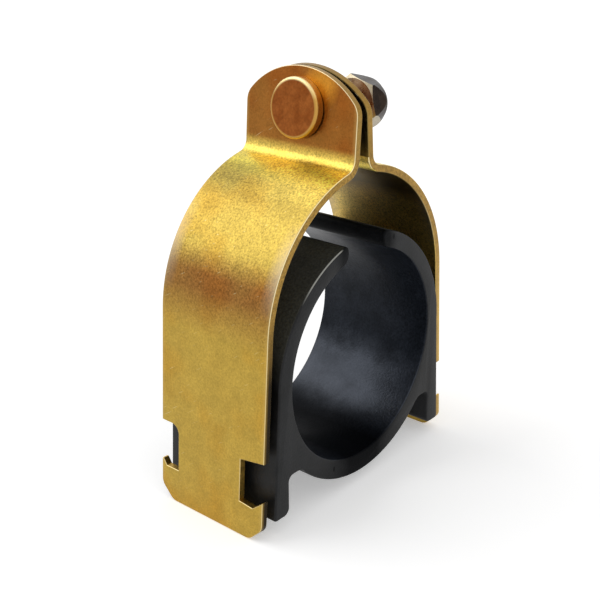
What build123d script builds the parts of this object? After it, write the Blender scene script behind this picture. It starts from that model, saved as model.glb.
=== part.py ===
"""Cushioned pipe clip for strut channel: two steel straps, a soft cushion, a bolt and a lock nut.

Row frame: X along the bolt from the front strap to the rear one, Y along the pipe, Z up.
The origin is the centre of the cushion's bore. All sizes are in millimetres.
"""
import math
import os

from build123d import *

os.makedirs("parts", exist_ok=True)

# Pipe and cushion
PIPE_D = 57.15                 # tube outside diameter that the clip is made for
RING_WALL = 5.0                # cushion wall round the bore
RING_DROP = 0.5                # the outer circle sits this far below the bore, so the floor is thicker
CUSHION_W = 37.2               # along the pipe
SLOT_W = 14.2                  # opening between the two tips
FOOT_INSET = 3.375             # ring's outer radius to the inner face of each foot
FOOT_RAISE = 0.9               # the feet end this far above the ring's lowest line
GROOVE_DEPTH = 10.7            # foot's end up to the roof of the groove between ring and foot
FOOT_ROUND = 2.0               # rounding at the foot's bottom inner corner
FOOT_OUTER_ROUND = 1.0         # rounding at the foot's bottom outer corner
GROOVE_ROUND = 1.6             # rounding where the groove's roof meets the foot and the ring
TIP_ROUND = 1.9                # rounding on the tips' edges
FACE_ROUND = 0.5               # rounding round the cushion's two end faces
WALL_BLEND = 20.0              # easing where the ring runs into the side walls
WALL_START = 1.0               # bore centre down to the side wall's upper end, inside the ring
FOOT_GAP = 1.3                 # side wall to strap leg, were the cushion midway between the legs
SEAT_GAP = 0.3                 # ring to the rear leg it leans on, and slides along when it is lifted

# Straps, drawn upright and then leaned outwards
STRAP_T = 2.0
STRAP_W = 35.7
STRAP_LEAN = 4.2               # degrees that each strap leans out at the bottom
LEG_ROOM = 1.085               # ring to leg, were the cushion midway between the legs
LEG_REACH = 7.125              # cushion's feet down to the leg's bottom edge
ARCH_ROOM = 2.025              # what the arch's inner radius has over the ring's
ARCH_Z = 13.1                  # height of the arch's centre
EAR_X = 7.55                   # straps' middle plane to the ear's outer face, before leaning
BEND_R = 3.0                   # bend between arch and ear, outer side
EAR_CROWN_R = 22.7
EAR_RISE = 21.9                # top of the arch's circle up to the top of the ear
EAR_CORNER_R = 5.0             # blend where the crown meets the ear's sides
HOLE_R = 5.75                  # bolt hole, wide enough for the bolt to hang and the straps to slide
EDGE_ROUND = 0.25              # rounding along the strap's rims

# Hook notches in the strap's leg, heights measured up from the leg's bottom edge
NECK_NEAR = 10.1               # centre line to the notch's inner edge, near side
NECK_FAR = 11.8                # the same on the far side
NOTCH_FLOOR = 9.35
NEAR_TOP_IN = 20.9
NEAR_TOP_OUT = 22.1
NEAR_TOOTH_W = 3.35            # strap's side to where the near floor turns up into the hook's tooth
NEAR_TOOTH_H = 11.6
NEAR_DIP = 0.4                 # the near floor falls this much towards the tooth
FAR_TOP = 22.2
FAR_TOP_ROUND = 2.5
FAR_TOOTH_W = 1.65             # the same on the far side
FAR_TOOTH_H = 11.0
FAR_LEDGE = 0.4                # flat top of the far tooth
FOOT_CHAMFER_Y = 4.1           # bottom corner chamfer, across
FOOT_CHAMFER_H = 3.9           # bottom corner chamfer, up
FOOT_CORNER_R = 3.0            # rounding at both ends of that chamfer

# Bolt and nut
BOLT_R = 7.9375 / 2
BOLT_PITCH = 25.4 / 18
THREAD_DEPTH = 0.62
BOLT_LEN = 29.0                # under the head
PLAIN_LEN = 6.0                # plain shank under the head
BOLT_RISE = 11.7               # top of the arch's circle up to the bolt
HEAD_R = 7.6
HEAD_H = 2.4
HEAD_ROUND = 0.7
BOLT_DROOP = 2.4               # degrees that the loose bolt hangs below square with the front ear
NUT_AF = 13.5
NUT_HEX_H = 6.6
NUT_DOME = 1.4                 # near face to where the hexagon's corners start to fall in
NUT_SHOULDER = 0.6             # hexagon's far end back to where its flats end
NUT_H = 8.7
NUT_START = 21.3               # head's underside to the nut's near face
NUT_TURN = 16.0                # degrees that the hexagon is turned from square with the floor
NUT_CLEAR = 0.08               # radial clearance over the thread's crests
COLLAR_R = 5.9
COLLAR_ROUND = 1.6
INSERT_R = 5.0
INSERT_H = 2.2
INSERT_CLEAR = 0.08            # radial and end clearance between insert and nut
COLLAR_LIP = 0.5               # the collar's rolled lip over the insert
COLLAR_MOUTH = 0.45            # how far the lip reaches in over the insert
COLLAR_ROOT = 0.6              # the collar starts this far down in the hexagon
CUT = 6.0                      # how far a cutting tool runs past the sheet

# What follows from these
BORE_R = PIPE_D / 2
RING_R = BORE_R + RING_WALL
FOOT_INNER_X = RING_R - FOOT_INSET
FOOT_BOTTOM_Z = FOOT_RAISE - RING_DROP - RING_R
GROOVE_ROOF_Z = FOOT_BOTTOM_Z + GROOVE_DEPTH
LEG_X = RING_R + LEG_ROOM + STRAP_T
LEG_BOTTOM_Z = FOOT_BOTTOM_Z - LEG_REACH
ARCH_R = RING_R + ARCH_ROOM + STRAP_T
EAR_TOP_Z = ARCH_Z + ARCH_R + EAR_RISE
BOLT_Z = ARCH_Z + ARCH_R + BOLT_RISE

# Strap blank: the bent strip seen along the pipe
arch_x = ARCH_R - LEG_X
bend_x = -EAR_X - BEND_R
bend_z = ARCH_Z + math.sqrt((ARCH_R + BEND_R) ** 2 - (bend_x - arch_x) ** 2)
bend_from = math.atan2(bend_z - ARCH_Z, bend_x - arch_x)
strip_top = EAR_TOP_Z + STRAP_T


def polar(cx, cz, r, angle):
    return (cx + r * math.cos(angle), cz + r * math.sin(angle))


def strip_path(inset):
    """The strip's face: the outer face at inset 0, the inner face at the strap's thickness."""
    r_arch = ARCH_R - inset
    r_bend = BEND_R + inset
    leg_top = (-LEG_X + inset, ARCH_Z)
    arch_mid = polar(arch_x, ARCH_Z, r_arch, (math.pi + bend_from) / 2)
    arch_end = polar(arch_x, ARCH_Z, r_arch, bend_from)
    bend_mid = polar(bend_x, bend_z, r_bend, (bend_from - math.pi) / 2)
    bend_end = (bend_x + r_bend, bend_z)
    return [
        Line((-LEG_X + inset, LEG_BOTTOM_Z), leg_top),
        ThreePointArc(leg_top, arch_mid, arch_end),
        ThreePointArc(arch_end, bend_mid, bend_end),
        Line(bend_end, (bend_x + r_bend, strip_top)),
    ]


outer = strip_path(0.0)
inner = strip_path(STRAP_T)
ends = [Line(outer[0] @ 0, inner[0] @ 0), Line(outer[-1] @ 1, inner[-1] @ 1)]
strip = Plane.XZ * make_face(outer + inner + ends)
strap = extrude(strip, STRAP_W / 2, both=True)

# Everything below the arch is trimmed by the leg's outline, and the ear by its crown
half = STRAP_W / 2
bottom = LEG_BOTTOM_Z
near_notch = [
    (-half - CUT, bottom + NEAR_TOOTH_H),
    (-half, bottom + NEAR_TOOTH_H),
    (-half + NEAR_TOOTH_W, bottom + NOTCH_FLOOR - NEAR_DIP),
    (-NECK_NEAR, bottom + NOTCH_FLOOR),
    (-NECK_NEAR, bottom + NEAR_TOP_IN),
    (-half, bottom + NEAR_TOP_OUT),
    (-half - CUT, bottom + NEAR_TOP_OUT),
]
far_notch = [
    (half + CUT, bottom + FAR_TOOTH_H),
    (half - FAR_LEDGE, bottom + FAR_TOOTH_H),
    (half - FAR_TOOTH_W, bottom + NOTCH_FLOOR),
    (NECK_FAR, bottom + NOTCH_FLOOR),
    (NECK_FAR, bottom + FAR_TOP),
    (half + CUT, bottom + FAR_TOP),
]


def leg_cutter(points):
    """A prism through the leg in the strap's Y-Z outline."""
    face = Plane.YZ * make_face(Polyline(*points, close=True))
    return Pos(-LEG_X + STRAP_T / 2, 0, 0) * extrude(face, CUT, both=True)


near_cut = leg_cutter(near_notch)
far_cut = leg_cutter(far_notch)
far_corner = far_cut.edges().filter_by(Axis.X).sort_by_distance((0, NECK_FAR, bottom + FAR_TOP))[0]
far_cut = fillet(far_corner, FAR_TOP_ROUND)
strap -= near_cut
strap -= far_cut
for side in (-1, 1):
    corner = [
        (side * (half - FOOT_CHAMFER_Y), bottom - CUT),
        (side * (half - FOOT_CHAMFER_Y), bottom),
        (side * half, bottom + FOOT_CHAMFER_H),
        (side * (half + CUT), bottom + FOOT_CHAMFER_H),
        (side * (half + CUT), bottom - CUT),
    ]
    strap -= leg_cutter(corner)
    for y, z in corner[1:3]:
        soft_corner = strap.edges().filter_by(Axis.X).sort_by_distance((-LEG_X, y, z))[0]
        strap = fillet(soft_corner, FOOT_CORNER_R)

crown_z = EAR_TOP_Z - EAR_CROWN_R
ear_root_z = bend_z - BEND_R
crown = Pos(0, crown_z) * Circle(EAR_CROWN_R)
ear_band = Pos(0, crown_z) * Rectangle(STRAP_W, 4 * EAR_CROWN_R)
ear_shape = crown & ear_band
shoulders = [v for v in ear_shape.vertices() if v.Y > crown_z]
ear_shape = fillet(shoulders, EAR_CORNER_R)
ear_shape += Pos(0, crown_z - EAR_CROWN_R) * Rectangle(STRAP_W, 2 * EAR_CROWN_R)
room_h = EAR_TOP_Z + CUT - ear_root_z
ear_room = Pos(0, ear_root_z + room_h / 2) * Rectangle(2 * STRAP_W, room_h)
ear_waste = Plane.YZ * (ear_room - ear_shape)
strap -= Pos(-EAR_X, 0, 0) * extrude(ear_waste, CUT, both=True)

bolt_line = Plane((-EAR_X, 0, BOLT_Z), x_dir=(0, 1, 0), z_dir=(1, 0, 0))
strap -= extrude(bolt_line * Circle(HOLE_R), CUT, both=True)


def on_sheet(point, inset):
    """Whether a point lies on the strip's outer face, or on its inner face at the strap's thickness."""
    if point.Z <= ARCH_Z:
        return abs(point.X + LEG_X - inset) < 0.01
    if math.atan2(point.Z - ARCH_Z, point.X - arch_x) >= bend_from:
        return abs(math.hypot(point.X - arch_x, point.Z - ARCH_Z) - ARCH_R + inset) < 0.01
    if point.Z <= bend_z:
        return abs(math.hypot(point.X - bend_x, point.Z - bend_z) - BEND_R - inset) < 0.01
    return abs(point.X + EAR_X - inset) < 0.01


# Rims: the edges of the sheet's two faces, without the lines across it where its bends start and end
rims = []
for edge in strap.edges():
    middle = edge @ 0.5
    across = abs(edge.length - STRAP_W) < 0.01
    if not across and (on_sheet(middle, 0.0) or on_sheet(middle, STRAP_T)):
        rims.append(edge)
strap = fillet(rims, EDGE_ROUND)

# Bolt: a turned profile about its own axis, with the thread as closed rings at the true pitch
thread_profile = [(0, -HEAD_H), (HEAD_R, -HEAD_H), (HEAD_R, 0), (BOLT_R, 0), (BOLT_R, PLAIN_LEN)]
rings = int((BOLT_LEN - PLAIN_LEN - THREAD_DEPTH) / BOLT_PITCH)
for ring in range(rings):
    start = PLAIN_LEN + ring * BOLT_PITCH
    thread_profile.append((BOLT_R - THREAD_DEPTH, start + BOLT_PITCH * 0.45))
    thread_profile.append((BOLT_R - THREAD_DEPTH, start + BOLT_PITCH * 0.55))
    thread_profile.append((BOLT_R, start + BOLT_PITCH * 0.93))
    thread_profile.append((BOLT_R, start + BOLT_PITCH))
thread_profile.append((BOLT_R, BOLT_LEN - THREAD_DEPTH))
thread_profile.append((BOLT_R - THREAD_DEPTH, BOLT_LEN))
thread_profile.append((0, BOLT_LEN))
turned = revolve(Plane.XZ * make_face(Polyline(*thread_profile, close=True)), Axis.Z)
head_rims = turned.edges().filter_by(GeomType.CIRCLE).group_by(Axis.Z)[0]
turned = fillet(head_rims.sort_by(SortBy.RADIUS)[-1:], HEAD_ROUND)

# Lock nut: hexagon with chamfered corners, a rounded collar, and a seat for the insert
nut_bore = BOLT_R + NUT_CLEAR
corner_r = NUT_AF / math.sqrt(3)
hexagon = extrude(RegularPolygon(NUT_AF / 2, 6, major_radius=False, rotation=NUT_TURN), NUT_HEX_H)
chamfer_h = (corner_r - NUT_AF / 2) * math.tan(math.radians(30))
crown_profile = [
    (0, 0),
    (NUT_AF / 2 * 0.98, 0),
    (corner_r, chamfer_h),
    (corner_r, NUT_DOME),
    (NUT_AF / 2, NUT_HEX_H - NUT_SHOULDER),
    (COLLAR_R + 0.1, NUT_HEX_H),
    (0, NUT_HEX_H),
]
hexagon &= revolve(Plane.XZ * make_face(Polyline(*crown_profile, close=True)), Axis.Z)
collar = Pos(0, 0, NUT_HEX_H - COLLAR_ROOT) * extrude(Circle(COLLAR_R), NUT_H - NUT_HEX_H + COLLAR_ROOT)
collar = fillet(collar.edges().filter_by(GeomType.CIRCLE).sort_by(Axis.Z)[-1:], COLLAR_ROUND)
nut = hexagon + collar
nut -= extrude(Circle(nut_bore), NUT_H)
seat_top = NUT_H - COLLAR_LIP
seat_bottom = seat_top - INSERT_H
seat = Pos(0, 0, seat_bottom) * extrude(Circle(INSERT_R), INSERT_H)
mouth = Pos(0, 0, seat_bottom) * extrude(Circle(INSERT_R - COLLAR_MOUTH), NUT_H)
nut -= seat + mouth

insert_ring = Circle(INSERT_R - INSERT_CLEAR) - Circle(nut_bore)
insert_base = seat_bottom + INSERT_CLEAR
insert = Pos(0, 0, insert_base) * extrude(insert_ring, INSERT_H - 2 * INSERT_CLEAR)

# Cushion: ring, side walls with feet that follow the leaning straps, top slot
lean = math.radians(STRAP_LEAN)
wall_offset = LEG_X - STRAP_T - FOOT_GAP


def wall_x(z):
    """The cushion's side wall, parallel with the leaning leg's inner face."""
    return (wall_offset - z * math.sin(lean)) / math.cos(lean)


wall_top = -WALL_START
wall_root = RING_R / 2
right_wall = [
    (wall_root, wall_top),
    (wall_x(wall_top), wall_top),
    (wall_x(FOOT_BOTTOM_Z), FOOT_BOTTOM_Z),
    (FOOT_INNER_X, FOOT_BOTTOM_Z),
    (FOOT_INNER_X, GROOVE_ROOF_Z),
    (wall_root, GROOVE_ROOF_Z),
]
wall = make_face(Polyline(*right_wall, close=True))


def near(shape, x, z):
    return shape.vertices().sort_by_distance((x, z, 0))[0]


wall = fillet(near(wall, FOOT_INNER_X, FOOT_BOTTOM_Z), FOOT_ROUND)
wall = fillet(near(wall, wall_x(FOOT_BOTTOM_Z), FOOT_BOTTOM_Z), FOOT_OUTER_ROUND)
wall = fillet(near(wall, FOOT_INNER_X, GROOVE_ROOF_Z), GROOVE_ROUND)
cushion_face = Pos(0, -RING_DROP) * Circle(RING_R)
cushion_face += wall
cushion_face += mirror(wall, Plane.YZ)
cushion_face -= Circle(BORE_R)
cushion_face -= Pos(0, RING_R) * Rectangle(SLOT_W, RING_R)
tips = [v for v in cushion_face.vertices() if abs(abs(v.X) - SLOT_W / 2) < 0.01 and v.Y > 0]
cushion_face = fillet(tips, TIP_ROUND)
on_roof = [v for v in cushion_face.vertices() if abs(v.Y - GROOVE_ROOF_Z) < 0.01]
roots = [min((v for v in on_roof if v.X * side > 0), key=lambda v: abs(v.X)) for side in (-1, 1)]
cushion_face = fillet(roots, GROOVE_ROUND)
blends = [v for v in cushion_face.vertices() if abs(v.X) > FOOT_INNER_X and v.Y > GROOVE_ROOF_Z]
cushion_face = fillet(blends, WALL_BLEND)
cushion = extrude(Plane.XZ * cushion_face, CUSHION_W / 2, both=True)
face_rims = cushion.edges().filter_by_position(Axis.Y, CUSHION_W / 2 - 0.01, CUSHION_W / 2 + 0.01)
face_rims += cushion.edges().filter_by_position(Axis.Y, -CUSHION_W / 2 - 0.01, -CUSHION_W / 2 + 0.01)
cushion = fillet(face_rims, FACE_ROUND)

# Placing: the straps lean out at the bottom, the bolt hangs from the front ear with its head's top
# touching it, and the straps' middle plane is shifted until the ring lies against the rear leg
ring_to_leg = LEG_X - STRAP_T + RING_DROP * math.sin(lean) - RING_R
strap_shift = (SEAT_GAP - ring_to_leg) / math.cos(lean)
to_front = Pos(strap_shift, 0, 0) * Rot(0, STRAP_LEAN, 0)
to_rear = Pos(strap_shift, 0, 0) * Rot(0, 0, 180) * Rot(0, STRAP_LEAN, 0)
head_off = HEAD_R * math.sin(math.radians(BOLT_DROOP))
to_bolt = to_front * Location(bolt_line) * Rot(BOLT_DROOP, 0, 0) * Pos(0, 0, -head_off)
to_nut = to_bolt * Pos(0, 0, NUT_START)
parts = {
    "front_strap": to_front * strap,
    "rear_strap": to_rear * strap,
    "cushion": cushion,
    "bolt": to_bolt * turned,
    "lock_nut": to_nut * nut,
    "nut_insert": to_nut * insert,
}
for name, piece in parts.items():
    export_step(piece, f"parts/{name}.step")
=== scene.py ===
"""Looks of a cushioned pipe clip: two plated steel straps, a moulded ring, a bolt and a lock nut."""
import math

import bmesh
import bpy
from mathutils import Matrix, Vector


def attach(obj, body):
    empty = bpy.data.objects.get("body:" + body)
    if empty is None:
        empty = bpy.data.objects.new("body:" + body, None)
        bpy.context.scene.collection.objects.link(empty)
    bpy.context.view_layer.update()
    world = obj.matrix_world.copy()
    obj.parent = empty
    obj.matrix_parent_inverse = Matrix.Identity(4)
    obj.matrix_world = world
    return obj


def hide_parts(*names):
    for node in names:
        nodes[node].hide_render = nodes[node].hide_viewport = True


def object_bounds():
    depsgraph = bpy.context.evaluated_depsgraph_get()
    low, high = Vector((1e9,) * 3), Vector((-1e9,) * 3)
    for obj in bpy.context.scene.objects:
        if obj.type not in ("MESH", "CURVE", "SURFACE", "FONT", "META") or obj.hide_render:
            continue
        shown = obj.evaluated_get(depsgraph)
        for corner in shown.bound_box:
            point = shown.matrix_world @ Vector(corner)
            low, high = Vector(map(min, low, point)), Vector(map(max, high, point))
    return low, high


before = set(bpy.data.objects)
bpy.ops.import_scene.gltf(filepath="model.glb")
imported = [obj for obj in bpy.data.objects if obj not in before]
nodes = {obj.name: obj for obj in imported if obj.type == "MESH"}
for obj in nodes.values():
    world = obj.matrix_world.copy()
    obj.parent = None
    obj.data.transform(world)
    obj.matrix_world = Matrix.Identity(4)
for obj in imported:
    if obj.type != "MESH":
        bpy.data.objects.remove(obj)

MM = 0.001
cad_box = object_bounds()
scene = bpy.context.scene
bpy.ops.object.select_all(action="DESELECT")

# Camera: where it stands from the bore's centre in millimetres, how it is turned in degrees, and its lens
CAMERA_AT = (-196.82, -165.74, 116.27)
CAMERA_AZIMUTH = -49.29
CAMERA_ELEVATION = 22.33
CAMERA_ROLL = -0.36
CAMERA_LENS = 62.56
SENSOR = 36.0

# Studio, with lengths in metres
FLOOR_SIZE = 6.0
FLOOR_LIFT = 0.35               # white that the floor shows of itself, so its shadow stays soft
ROOM_LIGHT = 0.6                # even light from all round
NEAREST = 0.01                  # the camera sees nothing closer than this
FARTHEST = 20.0                 # nor anything further off than this

# Cushion, in millimetres, as its CAD solid has it
BORE_R = 28.575
RING_WALL = 5.0
RING_R = BORE_R + RING_WALL
RING_DROP = 0.5                 # the outer circle sits this far below the bore
CUSHION_W = 37.2
SLOT_HALF = 7.1
FOOT_INSET = 3.375              # ring's outer radius to the foot's inner face
FOOT_RAISE = 0.9                # the feet end this far above the ring's lowest line
FOOT_GAP = 1.3                  # side wall to strap leg, were the ring midway
GROOVE_DEPTH = 10.7
FOOT_INNER_X = RING_R - FOOT_INSET
FOOT_BOTTOM_Z = FOOT_RAISE - RING_DROP - RING_R
GROOVE_ROOF_Z = FOOT_BOTTOM_Z + GROOVE_DEPTH
FOOT_ROUND = 2.0
FOOT_OUTER_ROUND = 1.0
GROOVE_ROUND = 1.6
TIP_ROUND = 1.9
FACE_ROUND = 0.5

# How finely the cushion is drawn
RING_STEPS = 180
ROUND_STEPS = 6
FOOT_ROUND_STEPS = 8
FACE_STEPS = 4
ROUND_ROOM = 0.2                # a circle stops this much before a round starts
MARGIN = 0.1                    # room that a test on a circle's points leaves
SAME_PLACE = 0.02               # points this close are one corner
WELD = 0.002                    # points this close become one
SMOOTH_BELOW = 35.0             # degrees between faces that are shaded as one

# Straps, in millimetres, in the frame each strap has before it is leaned and turned
DIGITS = 4                      # decimals kept of a size that is worked out from the lean
STRAP_LEAN = math.radians(4.2)
STRAP_HALF = 17.85
STRAP_T = 2.0
LEG_ROOM = 1.085                # ring to leg, were the ring midway
LEG_REACH = 7.125               # the ring's feet down to the leg's bottom edge
SEAT_GAP = 0.3                  # ring to the rear leg that it leans on
ARCH_ROOM = 2.025               # what the arch's inner radius has over the ring's
ARCH_Z = 13.1
EAR_RISE = 21.9                 # top of the arch's circle up to the top of the ear
EAR_X = 7.55
EAR_ROOT_Z = 52.0               # what lies above this is the ear
BEND_FROM_Z = 30.0              # above this the strap turns from the arch towards the ear
LEG_X = RING_R + LEG_ROOM + STRAP_T
ARCH_R = RING_R + ARCH_ROOM + STRAP_T
ARCH_X = ARCH_R - LEG_X
STRAP_LOW = FOOT_BOTTOM_Z - LEG_REACH
STRAP_HIGH = ARCH_Z + ARCH_R + EAR_RISE
RING_TO_LEG = LEG_ROOM + RING_DROP * math.sin(STRAP_LEAN)
STRAP_SHIFT = round((SEAT_GAP - RING_TO_LEG) / math.cos(STRAP_LEAN), DIGITS)

# The cushion's side wall follows the leaning leg down to its foot
WALL_OUT = RING_R + LEG_ROOM - FOOT_GAP
WALL_FOOT_X = round((WALL_OUT - FOOT_BOTTOM_Z * math.sin(STRAP_LEAN)) / math.cos(STRAP_LEAN), DIGITS)

# Bolt and nut share one axis, through a point in millimetres
BOLT_POINT = Vector((-3.7834, 0.0, 62.7854))
BOLT_AXIS = Vector((0.9933728, 0.0, -0.1149372))
HEAD_R = 7.6
BOLT_R = 3.96875
# The thread's dark root is painted shade; the rim's pale upper part is a painted highlight
THREAD_RADII = (BOLT_R - 0.6, BOLT_R)  # from the thread's dark root to its crest
HEAD_RIM = (HEAD_R - 0.95, HEAD_R - 0.55)  # from the head's brown face to its gold rim
HEAD_HIGHLIGHT_HEIGHTS = (3.0, 6.5)       # over the axis, where the head's rim turns pale

# Where a strap's film changes, in millimetres, fading in or out from the first number to the second
GRAIN_RISE = (8.0, 28.0)        # heights where the leg's fine grain grows into the arch's
GRAIN_FALL = (56.0, 50.0)
# The shoulder's painted shade grows over these heights and across it
SHOULDER_RISE = (40.5, 44.5)    # heights of the shoulder under the ear
SHOULDER_FALL = (49.0, 47.0)
SHOULDER_SIDES = (-11.0, 9.0)   # across it, from the near side to the far one
# The arch's pale borders are a painted sheen
ARCH_SHEEN_RISE = (18.0, 26.0)        # heights of the arch's pale borders
ARCH_SHEEN_FALL = (40.0, 30.0)
ARCH_SHEEN_SIDES = (STRAP_HALF - 4.0, STRAP_HALF - 0.5)
WORN_SIDES = (STRAP_HALF - 1.2, STRAP_HALF - 0.3)
# The edge's gold and the rounding's stronger line higher up are painted light
GOLD_RISE = (2.0, 20.0)         # heights where the edge turns gold and its rounding brighter
NOTCH_SIDES = (15.0, 13.0)      # the notches' walls lie nearer to the middle than this
# The warm patch on the ear is a painted reflection of the bolt head's side
HEAD_REFLECTION_AT = Vector((-EAR_X, -6.4, 68.4))  # middle of a warm patch on the ear
HEAD_REFLECTION_FADE = (6.0, 2.0)          # distances from that middle
SCRATCH_SIZE = (0.3, 0.3, 4.0)  # width twice, then length
SCRATCH_SLANT = 1.0             # radians from upright

# Where the cushion's surface changes, in the same way
BORE_SKIN = (BORE_R + 0.3, BORE_R + 0.1)
# The arms' lighter outside is painted light, and the near rim's pale line a painted highlight
ARM_LIGHT_SKIN = (RING_R - 0.08, RING_R - 0.02)
RIM_HIGHLIGHT_SKIN = (RING_R - 0.36, RING_R - 0.26)
NEAR_SKIN = (0.30 - CUSHION_W / 2, 0.22 - CUSHION_W / 2)
LOW_DARK_HEIGHTS = (-22.0, -27.0)
LOW_DARK_SIDES = (20.0, 6.0)
ARM_HEIGHTS = (4.0, 14.0)
TIP_SIDES = (13.0, 9.5)
RIM_HIGHLIGHT_RISE = (-25.0, -21.0)     # along the upper front arm
RIM_HIGHLIGHT_FALL = (-9.4, -10.4)
RIM_HIGHLIGHT_LOW = 15.0
# Two small nicks, drawn as painted shade rather than cut
NICK_SPOTS = ((11.34, 29.6), (-12.6, -28.4))  # x and z of two short marks on the near end
NICK_SIZE = (0.25, 0.95)        # half a mark's width and half its height
RUBBED_SIDE = (0.695, 0.0, -0.719)  # direction from the bore's axis to its rubbed patch

# Tints that the film takes on the outer face of each stretch of a strap; the brown band low on the arch is a
# painted reflection of dark surroundings, and the pale and yellow tints at the bend under the ear are a
# painted highlight
LEG_GOLD = "#b1923f"
PAINTED_BAND_REFLECTION = "#8b5e2e"
ARCH_GOLD = "#ac9243"
PAINTED_BEND_HIGHLIGHT = "#ffea62"
PAINTED_BEND_HIGHLIGHT_EDGE = "#dcc05c"
EAR_BROWN = "#8d5421"

# Heights of those tints along the strap, those of its inner face, which are painted reflection and shade,
# lighter low on the arch and dark towards the ear, and those through its sheared edge, which are painted
# light and shade
OUTER_TINTS = [
    (STRAP_LOW, LEG_GOLD),
    (9.5, LEG_GOLD),
    # a brown band of painted reflection
    (20.5, PAINTED_BAND_REFLECTION),
    (24.4, PAINTED_BAND_REFLECTION),
    (30.5, ARCH_GOLD),
    (42.0, ARCH_GOLD),
    # the bend's painted highlight
    (45.4, PAINTED_BEND_HIGHLIGHT_EDGE),
    (48.0, PAINTED_BEND_HIGHLIGHT),
    (50.2, PAINTED_BEND_HIGHLIGHT_EDGE),
    (51.2, PAINTED_BEND_HIGHLIGHT_EDGE),
    (53.8, EAR_BROWN),
    (STRAP_HIGH, EAR_BROWN),
]
INNER_PAINTED_REFLECTION = [
    (STRAP_LOW, "#b09040"),
    (25.0, "#d0b468"),
    (32.0, "#b89c58"),
    (37.0, "#58492a"),
    (STRAP_HIGH, "#4a3d22"),
]
# Sheared edges: painted shade deepening into the front one, painted light on the rear one
FRONT_EDGE_SHADE = [(0.0, "#8a7236"), (1.0, "#1d1507"), (0.28, "#6b5426"), (0.45, "#2c210b")]
REAR_EDGE_LIGHT = [(0.0, "#d2b05c"), (1.0, "#9a7c46"), (0.5, "#b3924f")]

# Settings that many nodes share
COLOUR = {"data_type": "RGBA"}  # a mix of two colours
TIMES = {"data_type": "RGBA", "blend_type": "MULTIPLY"}  # one colour times another
NOISE_SPAN = {"From Min": 0.3, "From Max": 0.7}  # most of a noise lies in here


def linear(hex_colour):
    """sRGB hex to the linear colour that a socket takes."""
    parts = [int(hex_colour[i:i + 2], 16) / 255 for i in (1, 3, 5)]
    return tuple(p / 12.92 if p <= 0.04045 else ((p + 0.055) / 1.055) ** 2.4 for p in parts) + (1.0,)


def add(tree, kind, inputs=None, stops=None, **settings):
    """Adds a node: an input given as a socket is linked, any other value is set; stops fill a ramp."""
    made = tree.nodes.new(kind)
    for name, value in settings.items():
        setattr(made, name, value)
    for name, value in (inputs or {}).items():
        if isinstance(value, bpy.types.NodeSocket):
            tree.links.new(value, made.inputs[name])
        else:
            made.inputs[name].default_value = value
    for index, (place, colour) in enumerate(stops or []):
        ramp = made.color_ramp.elements
        stop = ramp[index] if index < 2 else ramp.new(place)
        stop.position = place
        stop.color = linear(colour)
    return made


def per_metre(size_mm):
    """Texture scale for a pattern whose features are this many millimetres across."""
    return 1000.0 / size_mm


def in_mm(span):
    """The two ends of a range that is given in millimetres."""
    return {"From Min": span[0] * MM, "From Max": span[1] * MM}


def between(tree, value, rise, fall):
    """1 where a place along one axis lies past its rise and short of its fall, 0 elsewhere."""
    up = add(tree, "ShaderNodeMapRange", {"Value": value, **in_mm(rise)}).outputs[0]
    down = add(tree, "ShaderNodeMapRange", {"Value": value, **in_mm(fall)}).outputs[0]
    return add(tree, "ShaderNodeMath", {0: up, 1: down}, operation="MULTIPLY").outputs[0]


def new_material(name):
    """An empty node material and its tree."""
    made = bpy.data.materials.new(name)
    made.use_nodes = True
    made.node_tree.nodes.clear()
    return made, made.node_tree


def by_height(tints):
    """Ramp stops from colours given at heights along the strap; its two ends come first."""
    stops = [((z - STRAP_LOW) / (STRAP_HIGH - STRAP_LOW), colour) for z, colour in tints]
    return [stops[0], stops[-1]] + stops[1:-1]


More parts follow.
